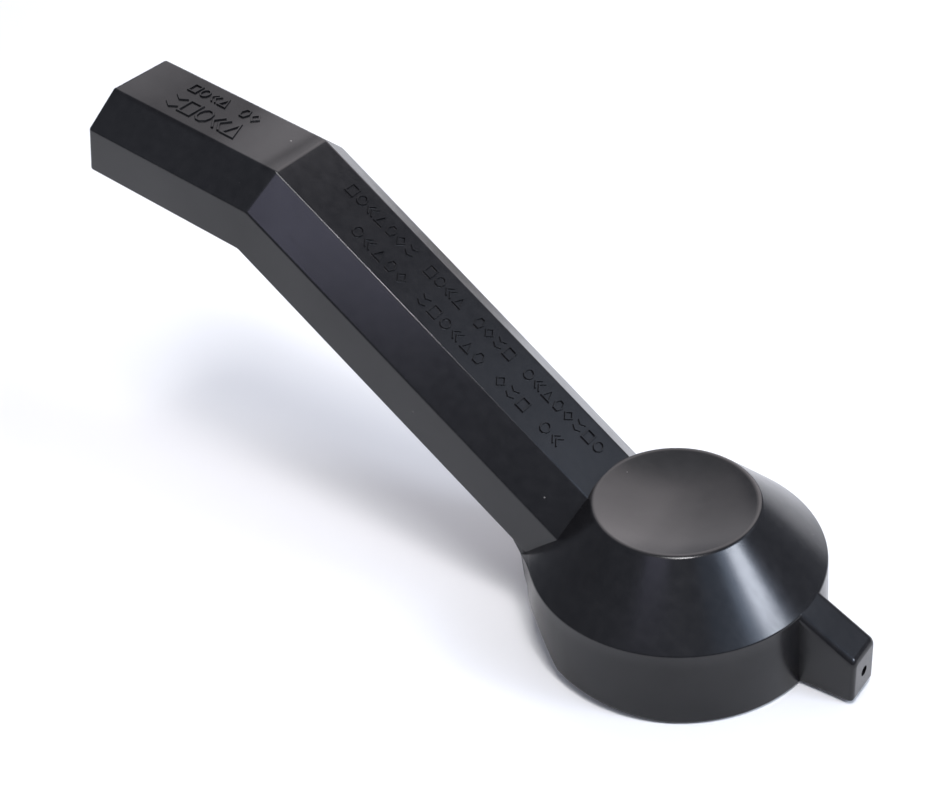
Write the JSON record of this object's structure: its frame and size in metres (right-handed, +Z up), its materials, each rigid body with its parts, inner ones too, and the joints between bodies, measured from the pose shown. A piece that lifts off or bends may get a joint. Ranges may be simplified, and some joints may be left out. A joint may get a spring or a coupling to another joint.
{
  "type": "press-to-turn valve lever",
  "caption": "Black press-to-turn valve lever with a conical hub, pointer tab and bent six-sided arm, on its stem, wear washers, return spring and guide flange.",
  "frame": {"origin": "on the turning axis, in the plane of the guide flange's underside, which rests on the valve's cover", "axes": "+Z up along the turning axis, +X along the pointer tab, so that the arm rises along -X"},
  "size_m": [0.227, 0.0774, 0.1188],
  "materials": {
    "lever_plastic": "satin moulded black plastic with a fine even grain",
    "pin_steel": "ground stainless steel",
    "washer_steel": "stamped stainless steel, lightly scored",
    "slip_plastic": "natural acetal",
    "stem_brass": "turned brass",
    "guide_brass": "turned and faced brass",
    "seal_rubber": "nitrile rubber",
    "spring_steel": "drawn stainless spring wire"
  },
  "bodies": {
    "guide": {"guide_flange": "guide_brass", "flange_seal": "seal_rubber", "slip_washer": "slip_plastic", "return_spring": "spring_steel"},
    "wear_washer": {"keyed_washer": "washer_steel"},
    "spindle": {"stem": "stem_brass", "stem_seal": "seal_rubber", "spring_seat": "washer_steel"},
    "lever": {"lever_handle": "lever_plastic", "pivot_pin": "pin_steel"}
  },
  "joints": [
    {"name": "lever_turn", "type": "hinge", "parent": "guide", "child": "wear_washer", "pos_m": [0, 0, 0.012], "axis": [0, 0, 1], "continuous": true},
    {"name": "stem_lift", "type": "slide", "parent": "wear_washer", "child": "spindle", "axis": [0, 0, 1], "range_m": [0, 0.0022], "deforming": ["return_spring"]},
    {"name": "lever_press", "type": "hinge", "parent": "spindle", "child": "lever", "pos_m": [0, 0, 0.0195], "axis": [0, -1, 0], "range_deg": [0, 10], "stiffness_Nm_per_rad": 6, "springref_deg": -28.65}
  ],
  "couplings": [
    {"joint": "stem_lift", "follows": "lever_press", "m_per_rad": 0.012}
  ]
}
